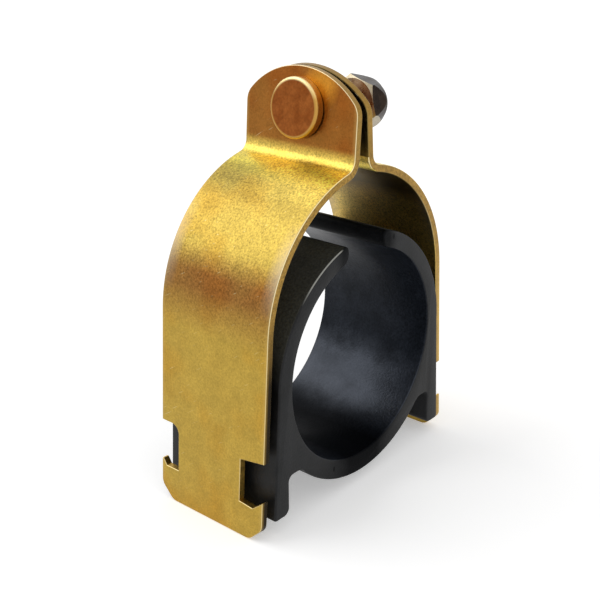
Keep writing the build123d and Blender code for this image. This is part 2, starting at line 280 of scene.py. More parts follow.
def through_sheet(tree, place, normal, turned):
    """Depth in the sheet, 0 outside and 1 inside, and how squarely a face looks out of it."""
    # Leg and arch are measured from the arch's centre line, the ear from its own outer face
    over = add(tree, "ShaderNodeMath", {0: place["Z"], 1: ARCH_Z * MM}, operation="SUBTRACT")
    over = add(tree, "ShaderNodeMath", {0: over.outputs[0], 1: 0.0}, operation="MAXIMUM")
    across = add(tree, "ShaderNodeMath", {0: place["X"], 1: ARCH_X * MM}, operation="SUBTRACT")
    spoke = add(tree, "ShaderNodeCombineXYZ", {"X": across.outputs[0], "Z": over.outputs[0]}).outputs[0]
    reach = add(tree, "ShaderNodeVectorMath", {0: spoke}, operation="LENGTH").outputs["Value"]
    arch_depth = add(tree, "ShaderNodeMapRange", {"Value": reach, **in_mm((ARCH_R, ARCH_R - STRAP_T))})
    ear_depth = add(tree, "ShaderNodeMapRange", {"Value": place["X"], **in_mm((-EAR_X, STRAP_T - EAR_X))})
    in_ear = add(tree, "ShaderNodeMath", {0: place["Z"], 1: EAR_ROOT_Z * MM}, operation="GREATER_THAN")
    depth = add(tree, "ShaderNodeMix", {
        "Factor": in_ear.outputs[0], "A": arch_depth.outputs[0], "B": ear_depth.outputs[0]})

    # 1 on the sheet's two faces, 0 on a sheared edge, between on the rounding
    outward = add(tree, "ShaderNodeVectorMath", {0: spoke}, operation="NORMALIZE")
    outward = add(tree, "ShaderNodeVectorMath", {0: outward.outputs[0], 1: normal}, operation="DOT_PRODUCT")
    sideways = add(tree, "ShaderNodeMath", {0: turned["Y"], 1: turned["Y"]}, operation="MULTIPLY")
    bent = add(tree, "ShaderNodeMath", {0: 1.0, 1: sideways.outputs[0]}, operation="SUBTRACT")
    bent = add(tree, "ShaderNodeMath", {0: bent.outputs[0]}, operation="SQRT")
    in_bend = add(tree, "ShaderNodeMath", {0: place["Z"], 1: BEND_FROM_Z * MM}, operation="GREATER_THAN")
    square = add(tree, "ShaderNodeMix", {
        "Factor": in_bend.outputs[0], "A": outward.outputs["Value"], "B": bent.outputs[0]})
    square = add(tree, "ShaderNodeMix", {
        "Factor": in_ear.outputs[0], "A": square.outputs[0], "B": turned["X"]})
    square = add(tree, "ShaderNodeMath", {0: square.outputs[0]}, operation="ABSOLUTE")
    return depth.outputs[0], square.outputs[0]


def film_tints(tree, own, place, depth):
    """The film's colours by height, with painted reflection and shade: duller on the inside faces, which see
    only the black ring.
    """
    level = add(tree, "ShaderNodeMapRange", {
        "Value": place["Z"], **in_mm((STRAP_LOW, STRAP_HIGH))}).outputs[0]
    outer = add(tree, "ShaderNodeValToRGB", {"Fac": level}, by_height(OUTER_TINTS)).outputs[0]
    inner = add(tree, "ShaderNodeValToRGB", {"Fac": level}, by_height(INNER_PAINTED_REFLECTION)).outputs[0]
    inside = add(tree, "ShaderNodeMapRange", {"Value": depth, "From Min": 0.80, "From Max": 0.95})
    film = add(tree, "ShaderNodeMix", {"Factor": inside.outputs[0], "A": outer, "B": inner}, **COLOUR)

    # Across the shoulder under the ear, painted shade darkens the film from the near side to the far one, and
    # painted light lifts the near side
    sides = add(tree, "ShaderNodeMapRange", {
        "Value": place["Y"], **in_mm(SHOULDER_SIDES), "To Min": 1.15, "To Max": 0.56})
    shoulder = between(tree, place["Z"], SHOULDER_RISE, SHOULDER_FALL)
    shoulder_shade = add(tree, "ShaderNodeMix", {"Factor": shoulder, "A": 1.0, "B": sides.outputs[0]})
    film = add(tree, "ShaderNodeMix", {
        "Factor": 1.0, "A": film.outputs["Result"], "B": shoulder_shade.outputs[0]}, **TIMES)

    # A warmer patch on the ear above the bolt, towards the near side, is a painted reflection of the bolt
    # head's gold side
    away = add(tree, "ShaderNodeVectorMath", {0: own, 1: HEAD_REFLECTION_AT * MM}, operation="DISTANCE")
    glow = add(tree, "ShaderNodeMapRange", {
        "Value": away.outputs["Value"], **in_mm(HEAD_REFLECTION_FADE), "To Max": 0.85})
    film = add(tree, "ShaderNodeMix", {
        "Factor": glow.outputs[0], "A": film.outputs["Result"], "B": linear("#c8862a")}, **COLOUR)
    return film.outputs["Result"]


def film_drift(tree, at, film):
    """Slow changes in the film, here towards olive and there towards a warmer gold."""
    drift = add(tree, "ShaderNodeTexNoise", {
        "Vector": at, "Scale": per_metre(16.0), "Detail": 2.0}).outputs[0]
    olive = add(tree, "ShaderNodeMapRange", {
        "Value": drift, "From Min": 0.42, "From Max": 0.62, "To Max": 0.10})
    film = add(tree, "ShaderNodeMix", {
        "Factor": olive.outputs[0], "A": film, "B": linear("#a59a4c")}, **COLOUR)
    warm = add(tree, "ShaderNodeMapRange", {
        "Value": drift, "From Min": 0.52, "From Max": 0.36, "To Max": 0.7})
    film = add(tree, "ShaderNodeMix", {
        "Factor": warm.outputs[0], "A": film.outputs["Result"], "B": linear("#fff0d0")}, **TIMES)
    return film.outputs["Result"]


def film_shade(tree, place, grain, cloud):
    """Light and dark of the plate's grain, strongest on the arch, and of the film's clouds."""
    on_arch = between(tree, place["Z"], GRAIN_RISE, GRAIN_FALL)
    strength = add(tree, "ShaderNodeMapRange", {"Value": on_arch, "To Min": 1.0, "To Max": 2.6})
    speck = add(tree, "ShaderNodeMath", {0: grain, 1: 0.5}, operation="SUBTRACT")
    fine = add(tree, "ShaderNodeMath", {
        0: speck.outputs[0], 1: strength.outputs[0], 2: 1.0}, operation="MULTIPLY_ADD")
    broad = add(tree, "ShaderNodeMapRange", {
        "Value": cloud, **NOISE_SPAN, "To Min": 0.90, "To Max": 1.10})
    shade = add(tree, "ShaderNodeMath", {0: fine.outputs[0], 1: broad.outputs[0]}, operation="MULTIPLY")
    return shade.outputs[0]


def scratches(tree, own, film):
    """Handling scratches: slanted needles where the film is broken, drawn wider than life to show."""
    slanted = add(tree, "ShaderNodeMapping", {
        "Vector": own,
        "Rotation": (SCRATCH_SLANT, 0, 0),
        "Scale": Vector(SCRATCH_SIZE) * MM,
    }, vector_type="TEXTURE")
    needle = add(tree, "ShaderNodeTexNoise", {"Vector": slanted.outputs[0], "Scale": 1.0, "Detail": 0.0})
    scratch = add(tree, "ShaderNodeMapRange", {
        "Value": needle.outputs[0], "From Min": 0.79, "From Max": 0.86, "To Max": 0.3})
    film = add(tree, "ShaderNodeMix", {
        "Factor": scratch.outputs[0], "A": film, "B": linear("#eadfae")}, **COLOUR)
    return film.outputs["Result"]


def worn_and_sheened_borders(tree, place, depth, square, film):
    """Worn bands along the strap's sides, a paler painted sheen beside the arch, and a painted highlight as a
    bright line on the outer rounding.
    """
    aside = add(tree, "ShaderNodeMath", {0: place["Y"]}, operation="ABSOLUTE").outputs[0]
    worn = add(tree, "ShaderNodeMapRange", {"Value": aside, **in_mm(WORN_SIDES), "To Max": 0.3})
    film = add(tree, "ShaderNodeMix", {
        "Factor": worn.outputs[0], "A": film, "B": linear("#bfa25f")}, **COLOUR)
    border = add(tree, "ShaderNodeMapRange", {"Value": aside, **in_mm(ARCH_SHEEN_SIDES), "To Max": 0.6})
    on_arch = between(tree, place["Z"], ARCH_SHEEN_RISE, ARCH_SHEEN_FALL)
    pale = add(tree, "ShaderNodeMath", {0: on_arch, 1: border.outputs[0]}, operation="MULTIPLY")
    film = add(tree, "ShaderNodeMix", {
        "Factor": pale.outputs[0], "A": film.outputs["Result"], "B": linear("#aa9c84")}, **COLOUR)

    # The bright line on the outer rounding is a painted highlight
    bright = add(tree, "ShaderNodeMapRange", {"Value": square, "From Min": 0.97, "From Max": 0.85})
    outer = add(tree, "ShaderNodeMath", {0: depth, 1: 0.5}, operation="LESS_THAN")
    higher = add(tree, "ShaderNodeMapRange", {
        "Value": place["Z"], **in_mm(GOLD_RISE), "To Min": 0.4, "To Max": 0.7})
    for part in (outer, higher):
        bright = add(tree, "ShaderNodeMath", {0: bright.outputs[0], 1: part.outputs[0]}, operation="MULTIPLY")
    film = add(tree, "ShaderNodeMix", {
        "Factor": bright.outputs[0], "A": film.outputs["Result"], "B": linear("#f6e9bd")}, **COLOUR)
    return film.outputs["Result"]


def sheared_edge(tree, place, turned, depth, edge_stops):
    """Colour of the sheared edge, painted light and shade: darker with depth on the leg, gold up the arch,
    lighter gold on the notches' walls and on faces turned up in them.
    """
    edge = add(tree, "ShaderNodeValToRGB", {"Fac": depth}, edge_stops)
    gold = add(tree, "ShaderNodeMapRange", {"Value": place["Z"], **in_mm(GOLD_RISE)})
    edge = add(tree, "ShaderNodeMix", {
        "Factor": gold.outputs[0], "A": edge.outputs[0], "B": linear("#967638")}, **COLOUR)
    aside = add(tree, "ShaderNodeMath", {0: place["Y"]}, operation="ABSOLUTE")
    wall = add(tree, "ShaderNodeMapRange", {"Value": aside.outputs[0], **in_mm(NOTCH_SIDES)})
    # Faces turned up in the notches and the notches' walls get painted light
    floor_up = add(tree, "ShaderNodeMapRange", {"Value": turned["Z"], "From Min": 0.4, "From Max": 0.7})
    notch_light = add(tree, "ShaderNodeMath", {0: floor_up.outputs[0], 1: wall.outputs[0]}, operation="MAXIMUM")
    on_leg = add(tree, "ShaderNodeMath", {0: place["Z"], 1: 0.0}, operation="LESS_THAN")
    notch_light = add(tree, "ShaderNodeMath", {0: notch_light.outputs[0], 1: on_leg.outputs[0]}, operation="MULTIPLY")
    edge = add(tree, "ShaderNodeMix", {
        "Factor": notch_light.outputs[0], "A": edge.outputs["Result"], "B": linear("#d0aa52")}, **COLOUR)
    return edge.outputs["Result"]


def yellow_chromate(name, half_turn, edge_stops):
    """Zinc plate under a yellow chromate film: tints change with height, some of them painted reflection,
    highlight, light and shade, and borders are worn, with a painted sheen and highlight.
    """
    mat, tree = new_material(name)
    coord = add(tree, "ShaderNodeTexCoord").outputs
    at = coord["Object"]
    turn = (0, STRAP_LEAN, half_turn)
    own = add(tree, "ShaderNodeMapping", {
        "Vector": at,
        "Location": (STRAP_SHIFT * MM, 0, 0),
        "Rotation": turn,
    }, vector_type="TEXTURE").outputs[0]
    normal = add(tree, "ShaderNodeMapping", {
        "Vector": coord["Normal"],
        "Rotation": turn,
    }, vector_type="TEXTURE").outputs[0]
    place = add(tree, "ShaderNodeSeparateXYZ", {0: own}).outputs
    turned = add(tree, "ShaderNodeSeparateXYZ", {0: normal}).outputs
    depth, square = through_sheet(tree, place, normal, turned)

    # Grain of the plate, drawn coarser than life to show at this size, and clouds in the film
    grain = add(tree, "ShaderNodeTexNoise", {
        "Vector": at, "Scale": per_metre(0.55), "Detail": 3.0, "Roughness": 0.7}).outputs[0]
    cloud = add(tree, "ShaderNodeTexNoise", {
        "Vector": at, "Scale": per_metre(4.5), "Detail": 4.0, "Roughness": 0.6}).outputs[0]
    shade = film_shade(tree, place, grain, cloud)
    film = film_tints(tree, own, place, depth)
    film = film_drift(tree, at, film)
    film = add(tree, "ShaderNodeMix", {"Factor": 1.0, "A": film, "B": shade}, **TIMES).outputs["Result"]
    film = scratches(tree, own, film)
    film = worn_and_sheened_borders(tree, place, depth, square, film)
    edge = sheared_edge(tree, place, turned, depth, edge_stops)
    edge = add(tree, "ShaderNodeMix", {"Factor": 1.0, "A": edge, "B": shade}, **TIMES)
    cut = add(tree, "ShaderNodeMapRange", {"Value": square, "From Min": 0.45, "From Max": 0.25})
    film = add(tree, "ShaderNodeMix", {
        "Factor": cut.outputs[0], "A": film, "B": edge.outputs["Result"]}, **COLOUR)

    rough = add(tree, "ShaderNodeMapRange", {
        "Value": grain, **NOISE_SPAN, "To Min": 0.28, "To Max": 0.46})
    waves = add(tree, "ShaderNodeBump", {"Height": cloud, "Strength": 0.35, "Distance": 0.12 * MM})
    bump = add(tree, "ShaderNodeBump", {
        "Height": grain, "Strength": 0.5, "Distance": 0.06 * MM, "Normal": waves.outputs[0]})
    shader = add(tree, "ShaderNodeBsdfPrincipled", {
        "Base Color": film.outputs["Result"],
        "Metallic": 1.0,
        "Roughness": rough.outputs[0],
        "Normal": bump.outputs[0],
    })
    add(tree, "ShaderNodeOutputMaterial", {"Surface": shader.outputs[0]})
    return mat


def turned_bolt(name):
    """Chromated bolt: copper-brown, gold on the head's rim where the film is thin, paler on the rim's upper
    part as a painted highlight, and painted shade in the thread's roots.
    """
    mat, tree = new_material(name)
    at = add(tree, "ShaderNodeTexCoord").outputs["Object"]
    offset = add(tree, "ShaderNodeVectorMath", {0: at, 1: BOLT_POINT * MM}, operation="SUBTRACT").outputs[0]
    along = add(tree, "ShaderNodeVectorMath", {0: offset, 1: BOLT_AXIS}, operation="DOT_PRODUCT")
    on_shank = add(tree, "ShaderNodeMath", {0: along.outputs["Value"], 1: 0.0}, operation="GREATER_THAN")
    spoke = add(tree, "ShaderNodeVectorMath", {0: offset, 1: BOLT_AXIS}, operation="CROSS_PRODUCT")
    radius = add(tree, "ShaderNodeVectorMath", {0: spoke.outputs[0]}, operation="LENGTH").outputs["Value"]

    # Clouds in the film, a grain that is drawn coarser than life to show at this size, and painted shade in
    # the thread's roots
    cloud = add(tree, "ShaderNodeTexNoise", {
        "Vector": at, "Scale": per_metre(3.0), "Detail": 4.0, "Roughness": 0.6}).outputs[0]
    grain = add(tree, "ShaderNodeTexNoise", {
        "Vector": at, "Scale": per_metre(0.7), "Detail": 2.0}).outputs[0]
    film = add(tree, "ShaderNodeValToRGB", {"Fac": cloud}, [(0.35, "#7d431b"), (0.68, "#935526")])
    speck = add(tree, "ShaderNodeMapRange", {
        "Value": grain, **NOISE_SPAN, "To Min": 0.86, "To Max": 1.14})
    root_shade = add(tree, "ShaderNodeMapRange", {"Value": radius, **in_mm(THREAD_RADII), "To Min": 0.45})
    root_shade = add(tree, "ShaderNodeMix", {"Factor": on_shank.outputs[0], "A": 1.0, "B": root_shade.outputs[0]})
    shade = add(tree, "ShaderNodeMath", {0: speck.outputs[0], 1: root_shade.outputs[0]}, operation="MULTIPLY")
    film = add(tree, "ShaderNodeMix", {"Factor": 1.0, "A": film.outputs[0], "B": shade.outputs[0]}, **TIMES)

    # The head's rounded rim and its side, the rim's upper part paler as a painted highlight
    rim = add(tree, "ShaderNodeMapRange", {"Value": radius, **in_mm(HEAD_RIM)})
    height = add(tree, "ShaderNodeSeparateXYZ", {0: offset}).outputs["Z"]
    high = add(tree, "ShaderNodeMapRange", {"Value": height, **in_mm(HEAD_HIGHLIGHT_HEIGHTS)})
    gold = add(tree, "ShaderNodeMix", {
        "Factor": high.outputs[0], "A": linear("#b88d47"), "B": linear("#f2dca0")}, **COLOUR)
    film = add(tree, "ShaderNodeMix", {
        "Factor": rim.outputs[0], "A": film.outputs["Result"], "B": gold.outputs["Result"]}, **COLOUR)

    # Rings left by turning, drawn coarser than life to show at this size
    ring = add(tree, "ShaderNodeMath", {0: radius, 1: per_metre(0.7) * 2 * math.pi}, operation="MULTIPLY")
    ring = add(tree, "ShaderNodeMath", {0: ring.outputs[0]}, operation="SINE")
    rough = add(tree, "ShaderNodeMapRange", {
        "Value": cloud, **NOISE_SPAN, "To Min": 0.30, "To Max": 0.44})
    marks = add(tree, "ShaderNodeBump", {"Height": ring.outputs[0], "Strength": 0.12, "Distance": 0.03 * MM})
    bump = add(tree, "ShaderNodeBump", {
        "Height": grain, "Strength": 0.35, "Distance": 0.05 * MM, "Normal": marks.outputs[0]})
    shader = add(tree, "ShaderNodeBsdfPrincipled", {
        "Base Color": film.outputs["Result"],
        "Metallic": 1.0,
        "Roughness": rough.outputs[0],
        "Normal": bump.outputs[0],
    })
    add(tree, "ShaderNodeOutputMaterial", {"Surface": shader.outputs[0]})
    return mat


def lock_nut_metal(name):
    """Clear zinc on a lock nut: painted shade darkens its sides, and painted light brightens the seat, the
    faces turned down and the outer end.
    """
    mat, tree = new_material(name)
    coord = add(tree, "ShaderNodeTexCoord").outputs
    at = coord["Object"]
    facing = add(tree, "ShaderNodeVectorMath", {
        0: coord["Normal"], 1: BOLT_AXIS}, operation="DOT_PRODUCT").outputs["Value"]
    upright = add(tree, "ShaderNodeSeparateXYZ", {0: coord["Normal"]}).outputs["Z"]
    # Painted light on faces turned to the seat, down and to the outer end; painted shade on the other sides
    lit_faces = add(tree, "ShaderNodeMapRange", {"Value": facing, "From Min": -0.35, "From Max": -0.55})
    below = add(tree, "ShaderNodeMapRange", {"Value": upright, "From Min": -0.60, "From Max": -0.75})
    outer_end = add(tree, "ShaderNodeMapRange", {
        "Value": facing, "From Min": 0.65, "From Max": 0.85, "To Max": 0.6})
    for part in (below, outer_end):
        lit_faces = add(tree, "ShaderNodeMath", {0: lit_faces.outputs[0], 1: part.outputs[0]}, operation="MAXIMUM")

    # Smears of oil, and a grain that is drawn coarser than life to show at this size
    smear = add(tree, "ShaderNodeTexNoise", {
        "Vector": at, "Scale": per_metre(3.5), "Detail": 4.0, "Roughness": 0.6}).outputs[0]
    grain = add(tree, "ShaderNodeTexNoise", {
        "Vector": at, "Scale": per_metre(0.6), "Detail": 2.0}).outputs[0]
    # The dark sides are painted shade, the paler tone painted light
    sides = add(tree, "ShaderNodeValToRGB", {"Fac": smear}, [(0.35, "#1f140d"), (0.70, "#36281b")])
    lit_tone = add(tree, "ShaderNodeValToRGB", {"Fac": smear}, [(0.35, "#a2967e"), (0.70, "#c4b89e")])
    tone = add(tree, "ShaderNodeMix", {
        "Factor": lit_faces.outputs[0], "A": sides.outputs[0], "B": lit_tone.outputs[0]}, **COLOUR)
    speck = add(tree, "ShaderNodeMapRange", {
        "Value": grain, **NOISE_SPAN, "To Min": 0.88, "To Max": 1.12})
    tone = add(tree, "ShaderNodeMix", {
        "Factor": 1.0, "A": tone.outputs["Result"], "B": speck.outputs[0]}, **TIMES)
    rough = add(tree, "ShaderNodeMapRange", {
        "Value": smear, **NOISE_SPAN, "To Min": 0.22, "To Max": 0.38})
    bump = add(tree, "ShaderNodeBump", {"Height": grain, "Strength": 0.3, "Distance": 0.04 * MM})
    shader = add(tree, "ShaderNodeBsdfPrincipled", {
        "Base Color": tone.outputs["Result"],
        "Metallic": 1.0,
        "Roughness": rough.outputs[0],
        "Normal": bump.outputs[0],
    })
    add(tree, "ShaderNodeOutputMaterial", {"Surface": shader.outputs[0]})
    return mat


def insert_nylon(name):
    """Milky nylon of the locking ring, a little yellowed in patches."""
    mat, tree = new_material(name)
    at = add(tree, "ShaderNodeTexCoord").outputs["Object"]
    patch = add(tree, "ShaderNodeTexNoise", {
        "Vector": at, "Scale": per_metre(2.5), "Detail": 3.0}).outputs[0]
    # This grain too is drawn coarser than life to show at this size
    grain = add(tree, "ShaderNodeTexNoise", {
        "Vector": at, "Scale": per_metre(0.4), "Detail": 2.0}).outputs[0]
    tone = add(tree, "ShaderNodeValToRGB", {"Fac": patch}, [(0.35, "#cfcbb6"), (0.68, "#e3e0d0")])
    rough = add(tree, "ShaderNodeMapRange", {"Value": patch, "To Min": 0.32, "To Max": 0.52})
    bump = add(tree, "ShaderNodeBump", {"Height": grain, "Strength": 0.25, "Distance": 0.04 * MM})
    shader = add(tree, "ShaderNodeBsdfPrincipled", {
        "Base Color": tone.outputs[0],
        "Roughness": rough.outputs[0],
        "Normal": bump.outputs[0],
    })
    add(tree, "ShaderNodeOutputMaterial", {"Surface": shader.outputs[0]})
    return mat


def bore_masks(tree, place, section, rubbed):
    """Where the bore is, the patch in it that a tube has rubbed, and the darker, duller lowest part of the
    ring.
    """
    radius = add(tree, "ShaderNodeVectorMath", {0: section}, operation="LENGTH").outputs["Value"]
    bore = add(tree, "ShaderNodeMapRange", {"Value": radius, **in_mm(BORE_SKIN)})

    # The patch lies low on the rear side and has a ragged border
    spoke = add(tree, "ShaderNodeVectorMath", {0: section}, operation="NORMALIZE").outputs[0]
    towards = add(tree, "ShaderNodeVectorMath", {0: spoke, 1: RUBBED_SIDE}, operation="DOT_PRODUCT")
    ragged = add(tree, "ShaderNodeMath", {
        0: rubbed, 1: 0.10, 2: towards.outputs["Value"]}, operation="MULTIPLY_ADD")
    patch = add(tree, "ShaderNodeMapRange", {"Value": ragged.outputs[0], "From Min": 0.94, "From Max": 1.03})

    # The ring is darker and duller at its lowest part
    low = add(tree, "ShaderNodeMapRange", {"Value": place["Z"], **in_mm(LOW_DARK_HEIGHTS)})
    beside = add(tree, "ShaderNodeMath", {0: place["X"]}, operation="ABSOLUTE")
    under = add(tree, "ShaderNodeMapRange", {"Value": beside.outputs[0], **in_mm(LOW_DARK_SIDES)})
    lowest_darker = add(tree, "ShaderNodeMath", {0: low.outputs[0], 1: under.outputs[0]}, operation="MULTIPLY")
    return bore.outputs[0], patch.outputs[0], lowest_darker.outputs[0]


def arm_masks(tree, place, section, near_end):
    """The outside of the upper arms, lightened as painted light, their dull tips, and a painted highlight
    along the front arm's near rim.
    """
    lowered = add(tree, "ShaderNodeVectorMath", {0: section, 1: (0, 0, RING_DROP * MM)}, operation="ADD")
    radius = add(tree, "ShaderNodeVectorMath", {0: lowered.outputs[0]}, operation="LENGTH").outputs["Value"]
    raised = add(tree, "ShaderNodeMapRange", {"Value": place["Z"], **in_mm(ARM_HEIGHTS)}).outputs[0]
    skin = add(tree, "ShaderNodeMapRange", {"Value": radius, **in_mm(ARM_LIGHT_SKIN)})
    arm_outside_light = add(tree, "ShaderNodeMath", {0: skin.outputs[0], 1: raised}, operation="MULTIPLY")
    beside = add(tree, "ShaderNodeMath", {0: place["X"]}, operation="ABSOLUTE")
    inward = add(tree, "ShaderNodeMapRange", {"Value": beside.outputs[0], **in_mm(TIP_SIDES)})
    tip = add(tree, "ShaderNodeMath", {0: inward.outputs[0], 1: raised}, operation="MULTIPLY")

    # The thin pale line along the near rim is a painted highlight of its rounding
    rim = add(tree, "ShaderNodeMapRange", {"Value": radius, **in_mm(RIM_HIGHLIGHT_SKIN)})
    upper = add(tree, "ShaderNodeMath", {0: place["Z"], 1: RIM_HIGHLIGHT_LOW * MM}, operation="GREATER_THAN")
    along = between(tree, place["X"], RIM_HIGHLIGHT_RISE, RIM_HIGHLIGHT_FALL)
    rim_highlight = add(tree, "ShaderNodeMath", {0: rim.outputs[0], 1: near_end}, operation="MULTIPLY")
    for part in (along, upper.outputs[0]):
        rim_highlight = add(tree, "ShaderNodeMath", {0: rim_highlight.outputs[0], 1: part}, operation="MULTIPLY")
    return arm_outside_light.outputs[0], tip.outputs[0], rim_highlight.outputs[0]


def nick_shade(tree, section, near_end, x, z):
    """Where one small nick lies on the near end; it is drawn as painted shade rather than cut."""
    away = add(tree, "ShaderNodeVectorMath", {
        0: section, 1: (x * MM, 0, z * MM)}, operation="SUBTRACT")
    away = add(tree, "ShaderNodeVectorMath", {
        0: away.outputs[0], 1: (per_metre(NICK_SIZE[0]), 0, per_metre(NICK_SIZE[1]))}, operation="MULTIPLY")
    away = add(tree, "ShaderNodeVectorMath", {0: away.outputs[0]}, operation="LENGTH")
    nick = add(tree, "ShaderNodeMapRange", {
        "Value": away.outputs["Value"], "From Min": 1.1, "From Max": 0.7})
    return add(tree, "ShaderNodeMath", {0: nick.outputs[0], 1: near_end}, operation="MULTIPLY").outputs[0]


def moulded_elastomer(name):
    """Black moulded elastomer: matt ends with a fine grain, a smoother bore with a painted bluish reflection,
    painted light on the arms' outside and a painted highlight along the near rim.
    """
    mat, tree = new_material(name)
    at = add(tree, "ShaderNodeTexCoord").outputs["Object"]
    place = add(tree, "ShaderNodeSeparateXYZ", {0: at}).outputs
    section = add(tree, "ShaderNodeCombineXYZ", {"X": place["X"], "Z": place["Z"]}).outputs[0]

    # The mould's grain, drawn coarser than life to show at this size, and what handling has rubbed
    grain = add(tree, "ShaderNodeTexNoise", {
        "Vector": at, "Scale": per_metre(0.6), "Detail": 2.0}).outputs[0]
    rubbed = add(tree, "ShaderNodeTexNoise", {
        "Vector": at, "Scale": per_metre(7.0), "Detail": 5.0, "Roughness": 0.65}).outputs[0]
    near_end = add(tree, "ShaderNodeMapRange", {"Value": place["Y"], **in_mm(NEAR_SKIN)}).outputs[0]
    bore, patch, lowest_darker = bore_masks(tree, place, section, rubbed)
    arm_outside_light, tip, rim_highlight = arm_masks(tree, place, section, near_end)

    # Colour, from the clean moulding to painted reflection, light and shade and a darker lowest part
    body = add(tree, "ShaderNodeValToRGB", {"Fac": rubbed}, [(0.35, "#08090a"), (0.75, "#131416")])
    # The bore's lighter bluish tone is a painted reflection
    wall = add(tree, "ShaderNodeValToRGB", {"Fac": rubbed}, [(0.35, "#14171c"), (0.75, "#20242b")])
    tone = add(tree, "ShaderNodeMix", {"Factor": bore, "A": body.outputs[0], "B": wall.outputs[0]}, **COLOUR)
    # Darker at the lowest part, painted light on the arms' outside
    for mask, colour in ((lowest_darker, "#050608"), (arm_outside_light, "#32322d")):
        tone = add(tree, "ShaderNodeMix", {
            "Factor": mask, "A": tone.outputs["Result"], "B": linear(colour)}, **COLOUR)
    fine = add(tree, "ShaderNodeMapRange", {"Value": grain, **NOISE_SPAN, "To Min": 0.6, "To Max": 1.4})
    tone = add(tree, "ShaderNodeMix", {
        "Factor": 1.0, "A": tone.outputs["Result"], "B": fine.outputs[0]}, **TIMES)
    # A painted highlight along the near rim
    tone = add(tree, "ShaderNodeMix", {
        "Factor": rim_highlight, "A": tone.outputs["Result"], "B": linear("#a3a39c")}, **COLOUR)

    # Gloss: most where a tube has rubbed, little on the tips and on the lowest part, least in the nicks
    gloss = add(tree, "ShaderNodeMapRange", {"Value": patch, "To Min": 0.14, "To Max": 0.44})
    gloss = add(tree, "ShaderNodeMix", {"Factor": bore, "A": 0.24, "B": gloss.outputs[0]})
    for mask, value in ((tip, 0.05), (lowest_darker, 0.03)):
        gloss = add(tree, "ShaderNodeMix", {"Factor": mask, "A": gloss.outputs[0], "B": value})
    streak = add(tree, "ShaderNodeMapRange", {
        "Value": rubbed, "From Min": 0.35, "From Max": 0.65, "To Min": 0.85, "To Max": 1.2})
    gloss = add(tree, "ShaderNodeMath", {0: gloss.outputs[0], 1: streak.outputs[0]}, operation="MULTIPLY")
    sheen = 1.0
    # Each nick is painted shade, and less glossy
    for x, z in NICK_SPOTS:
        nick = nick_shade(tree, section, near_end, x, z)
        tone = add(tree, "ShaderNodeMix", {
            "Factor": nick, "A": tone.outputs["Result"], "B": linear("#020202")}, **COLOUR)
        sheen = add(tree, "ShaderNodeMix", {"Factor": nick, "A": sheen, "B": 0.1}).outputs[0]
    gloss = add(tree, "ShaderNodeMath", {0: gloss.outputs[0], 1: sheen}, operation="MULTIPLY")

    rough = add(tree, "ShaderNodeMapRange", {
        "Value": rubbed, **NOISE_SPAN, "To Min": 0.42, "To Max": 0.58})
    rough = add(tree, "ShaderNodeMix", {"Factor": bore, "A": rough.outputs[0], "B": 0.30})
    # The bore's bluish specular tint is a painted reflection
    bore_reflection_tint = add(tree, "ShaderNodeMix", {
        "Factor": bore, "A": linear("#ffffff"), "B": linear("#d8e2f6")}, **COLOUR)
    bump = add(tree, "ShaderNodeBump", {"Height": grain, "Strength": 0.6, "Distance": 0.08 * MM})
    shader = add(tree, "ShaderNodeBsdfPrincipled", {
        "Base Color": tone.outputs["Result"],
        "Roughness": rough.outputs[0],
        "Specular IOR Level": gloss.outputs[0],
        "Specular Tint": bore_reflection_tint.outputs["Result"],
        "Normal": bump.outputs[0],
    })
    add(tree, "ShaderNodeOutputMaterial", {"Surface": shader.outputs[0]})
    return mat


def pick(kind, test):
    """In edit mode, selects only the vertices or edges whose middle, in millimetres, passes a test."""
    bpy.ops.mesh.select_mode(type=kind)
    bpy.ops.mesh.select_all(action="DESELECT")
    mesh = bpy.context.object.data
    shape = bmesh.from_edit_mesh(mesh)
    elements = shape.verts if kind == "VERT" else shape.edges
    for element in elements:
        points = [element.co] if kind == "VERT" else [v.co for v in element.verts]
        middle = sum(points, Vector()) / len(points) / MM
        if test(middle, element):
            element.select_set(True)
    shape.select_flush_mode()
    bmesh.update_edit_mesh(mesh)


def at_point(x, z):
    """A test for the vertex of a flat outline at one place."""
    return lambda m, e: abs(m.x - x) < SAME_PLACE and abs(m.z - z) < SAME_PLACE


def is_end(vertex):
    """True where a flat outline is still open."""
    return len(vertex.link_edges) == 1


def pull(x, z):
    """Extrudes the selected vertex of a flat outline by a step in millimetres."""
    bpy.ops.mesh.extrude_region_move(TRANSFORM_OT_translate={"value": (x * MM, 0, z * MM)})


def round_corner(x, z, radius, steps):
    """Rounds one corner of a flat outline."""
    pick("VERT", at_point(x, z))
    bpy.ops.mesh.bevel(offset=radius * MM, segments=steps, affect="VERTICES")


def flat_circle(radius):
    """A circle about the pipe's axis."""
    bpy.ops.mesh.primitive_circle_add(
        vertices=RING_STEPS, radius=radius * MM, location=(0, 0, 0), rotation=(math.pi / 2, 0, 0))


